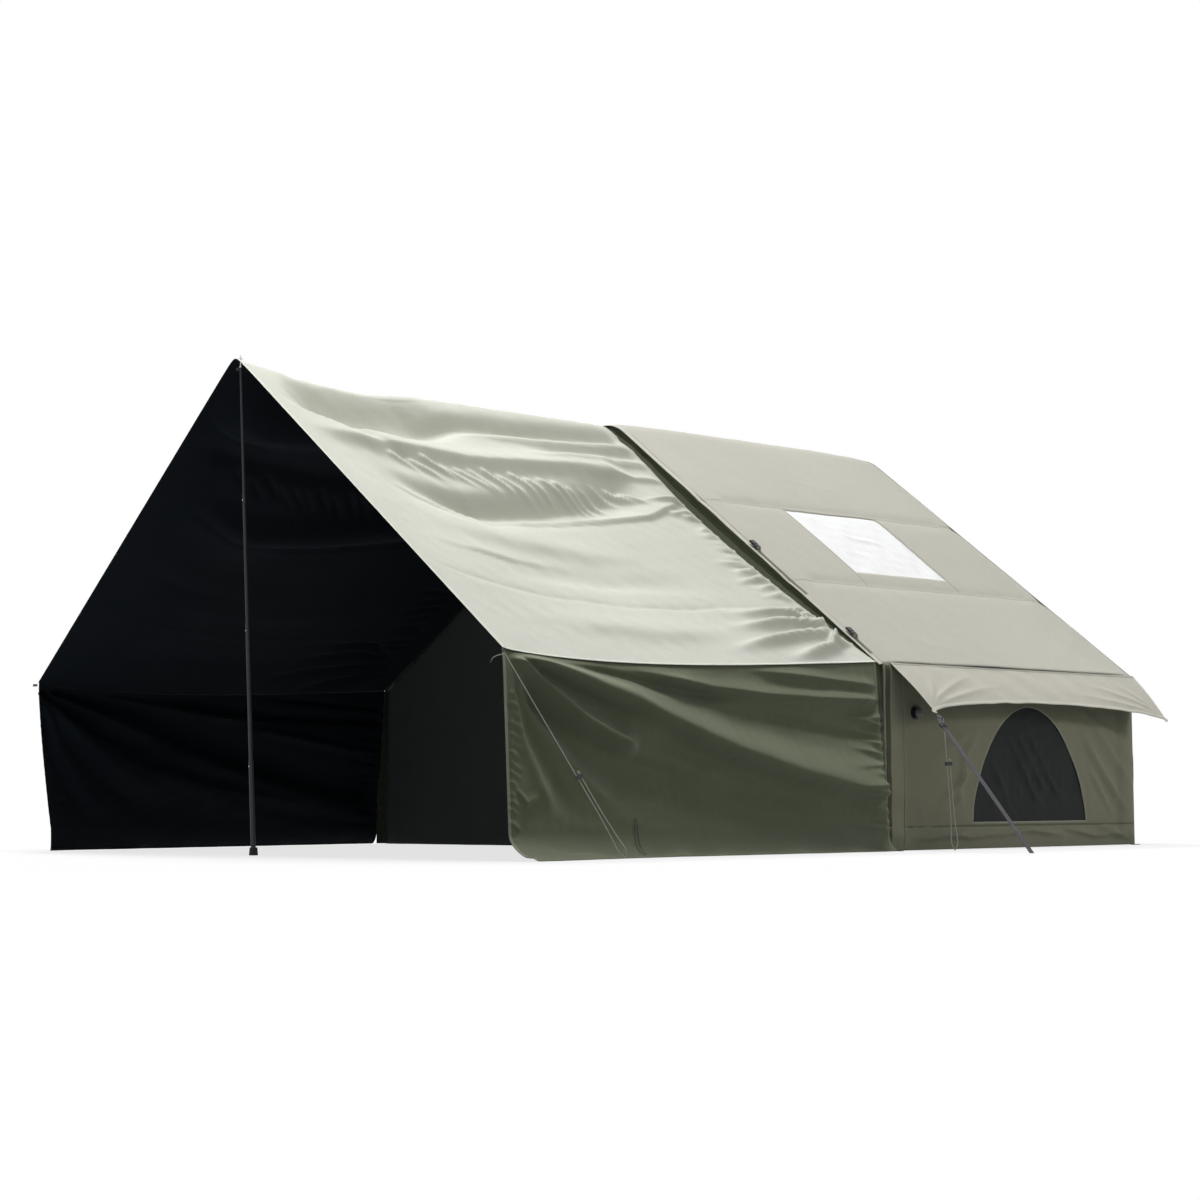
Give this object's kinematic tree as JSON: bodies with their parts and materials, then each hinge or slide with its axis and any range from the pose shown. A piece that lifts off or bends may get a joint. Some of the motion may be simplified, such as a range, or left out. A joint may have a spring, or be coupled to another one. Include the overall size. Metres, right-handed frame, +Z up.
{
  "type": "inflatable glamping tent",
  "caption": "Air-beam ridge tent with an open pole-held porch, side awnings, mesh windows, skylight and twin door leaves.",
  "frame": {"origin": "on the ground below the middle of the tent, halfway between the porch's front edge and the rear hem", "axes": "+Z up, +Y along the ridge from the open porch to the rear wall, +X to the right when looking from the porch into the tent"},
  "size_m": [4.734, 4.2536, 2.2183],
  "materials": {
    "porch_roof_cloth": "matte",
    "roof_cloth": "matte",
    "porch_wall_cloth": "matte",
    "wall_cloth": "matte",
    "inner_cloth": "matte",
    "window_screen": "matte",
    "skylight_film": "satin",
    "air_tube": "satin",
    "tube_sleeve": "matte",
    "floor_sheet": "satin",
    "pole_steel": "satin",
    "plated_metal": "polished",
    "pole_rubber": "matte",
    "black_plastic": "satin",
    "guy_cord": "matte",
    "strap_webbing": "matte"
  },
  "bodies": {
    "tent": {"awning_guy_line": "guy_cord", "awning_strap": "strap_webbing", "canopy_eyelet": "plated_metal", "front_arch_air_tube": "air_tube", "front_arch_sleeve": "tube_sleeve", "front_guy_line": "guy_cord", "front_left_peg_loop": "strap_webbing", "front_right_peg_loop": "strap_webbing", "front_wall": "inner_cloth", "groundsheet": "floor_sheet", "left_awning": "roof_cloth", "left_awning_tab": "strap_webbing", "left_eave_air_tube": "air_tube", "left_eave_tab": "strap_webbing", "left_lower_clip_socket": "black_plastic", "left_porch_wall": "porch_wall_cloth", "left_side_wall": "wall_cloth", "left_upper_clip_socket": "black_plastic", "left_window_mesh": "window_screen", "main_roof": "roof_cloth", "pole_bottom_tube": "pole_steel", "pole_foot": "pole_rubber", "porch_canopy": "porch_roof_cloth", "rear_arch_air_tube": "air_tube", "rear_arch_sleeve": "tube_sleeve", "rear_left_peg_loop": "strap_webbing", "rear_right_peg_loop": "strap_webbing", "rear_wall": "wall_cloth", "ridge_air_tube": "air_tube", "right_awning": "roof_cloth", "right_awning_tab": "strap_webbing", "right_eave_air_tube": "air_tube", "right_eave_tab": "strap_webbing", "right_lower_clip_socket": "black_plastic", "right_porch_wall": "porch_wall_cloth", "right_side_wall": "wall_cloth", "right_upper_clip_socket": "black_plastic", "right_window_mesh": "window_screen", "skylight_film": "skylight_film", "valve_body": "black_plastic", "wall_tie_loop": "guy_cord"},
    "left_door": {"left_door_leaf": "inner_cloth"},
    "right_door": {"right_door_leaf": "inner_cloth"},
    "zip_slider": {"door_zip_slider": "plated_metal"},
    "cap": {"valve_cap": "black_plastic"},
    "pole_lower": {"pole_lower_tube": "pole_steel"},
    "pole_upper": {"pole_upper_tube": "pole_steel"},
    "pole_top": {"pole_top_tube": "pole_steel", "pole_top_pin": "plated_metal"},
    "button_1": {"pole_snap_button_1": "plated_metal"},
    "button_2": {"pole_snap_button_2": "plated_metal"},
    "button_3": {"pole_snap_button_3": "plated_metal"},
    "front_runner": {"front_guy_runner": "black_plastic"},
    "awning_runner": {"awning_guy_runner": "black_plastic"},
    "slide": {"strap_slide": "black_plastic"},
    "left_upper_prong": {"left_upper_clip_prong": "black_plastic"},
    "left_lower_prong": {"left_lower_clip_prong": "black_plastic"},
    "right_upper_prong": {"right_upper_clip_prong": "black_plastic"},
    "right_lower_prong": {"right_lower_clip_prong": "black_plastic"}
  },
  "joints": [
    {"name": "left_door_swing", "type": "hinge", "parent": "tent", "child": "left_door", "pos_m": [-0.5, 0.16, 0.88], "axis": [0, 0, -1], "range_deg": [0, 95]},
    {"name": "right_door_swing", "type": "hinge", "parent": "tent", "child": "right_door", "pos_m": [0.5, 0.16, 0.88], "axis": [0, 0, 1], "range_deg": [0, 95]},
    {"name": "door_zip", "type": "slide", "parent": "left_door", "child": "zip_slider", "axis": [0, 0, -1], "range_m": [0, 1.45]},
    {"name": "valve_cap_swing", "type": "hinge", "parent": "tent", "child": "cap", "pos_m": [1.8132, 0.38, 0.655], "axis": [0, -1, 0], "range_deg": [0, 150]},
    {"name": "pole_lower_slide", "type": "slide", "parent": "tent", "child": "pole_lower", "axis": [0, 0.04, -0.9992], "range_m": [0, 0.34], "deforming": ["pole_snap_button_1"]},
    {"name": "pole_upper_slide", "type": "slide", "parent": "pole_lower", "child": "pole_upper", "axis": [0, 0.04, -0.9992], "range_m": [0, 0.54], "deforming": ["pole_snap_button_2"]},
    {"name": "pole_top_slide", "type": "slide", "parent": "pole_upper", "child": "pole_top", "axis": [0, 0.04, -0.9992], "range_m": [0, 0.54], "deforming": ["pole_snap_button_3"]},
    {"name": "snap_button_1_press", "type": "slide", "parent": "pole_lower", "child": "button_1", "axis": [0, 0.9992, 0.04], "range_m": [0, 0.0036], "stiffness_N_per_m": 900, "springref_m": -0.002},
    {"name": "snap_button_2_press", "type": "slide", "parent": "pole_upper", "child": "button_2", "axis": [0, 0.9992, 0.04], "range_m": [0, 0.0036], "stiffness_N_per_m": 900, "springref_m": -0.002},
    {"name": "snap_button_3_press", "type": "slide", "parent": "pole_top", "child": "button_3", "axis": [0, 0.9992, 0.04], "range_m": [0, 0.0036], "stiffness_N_per_m": 900, "springref_m": -0.002},
    {"name": "front_runner_slide", "type": "slide", "parent": "tent", "child": "front_runner", "axis": [0.3609, 0.3489, -0.8649], "range_m": [0, 0.11]},
    {"name": "awning_runner_slide", "type": "slide", "parent": "tent", "child": "awning_runner", "axis": [0.1025, -0.0342, -0.9941], "range_m": [0, 0.11]},
    {"name": "strap_adjust", "type": "slide", "parent": "tent", "child": "slide", "axis": [0.6897, -0.1198, -0.7141], "range_m": [0, 0.12]},
    {"name": "left_upper_clip_release", "type": "slide", "parent": "tent", "child": "left_upper_prong", "axis": [-0.7971, 0, -0.6038], "range_m": [0, 0.02]},
    {"name": "left_lower_clip_release", "type": "slide", "parent": "tent", "child": "left_lower_prong", "axis": [-0.7971, 0, -0.6038], "range_m": [0, 0.02]},
    {"name": "right_upper_clip_release", "type": "slide", "parent": "tent", "child": "right_upper_prong", "axis": [0.7971, 0, -0.6038], "range_m": [0, 0.02]},
    {"name": "right_lower_clip_release", "type": "slide", "parent": "tent", "child": "right_lower_prong", "axis": [0.7971, 0, -0.6038], "range_m": [0, 0.02]}
  ]
}
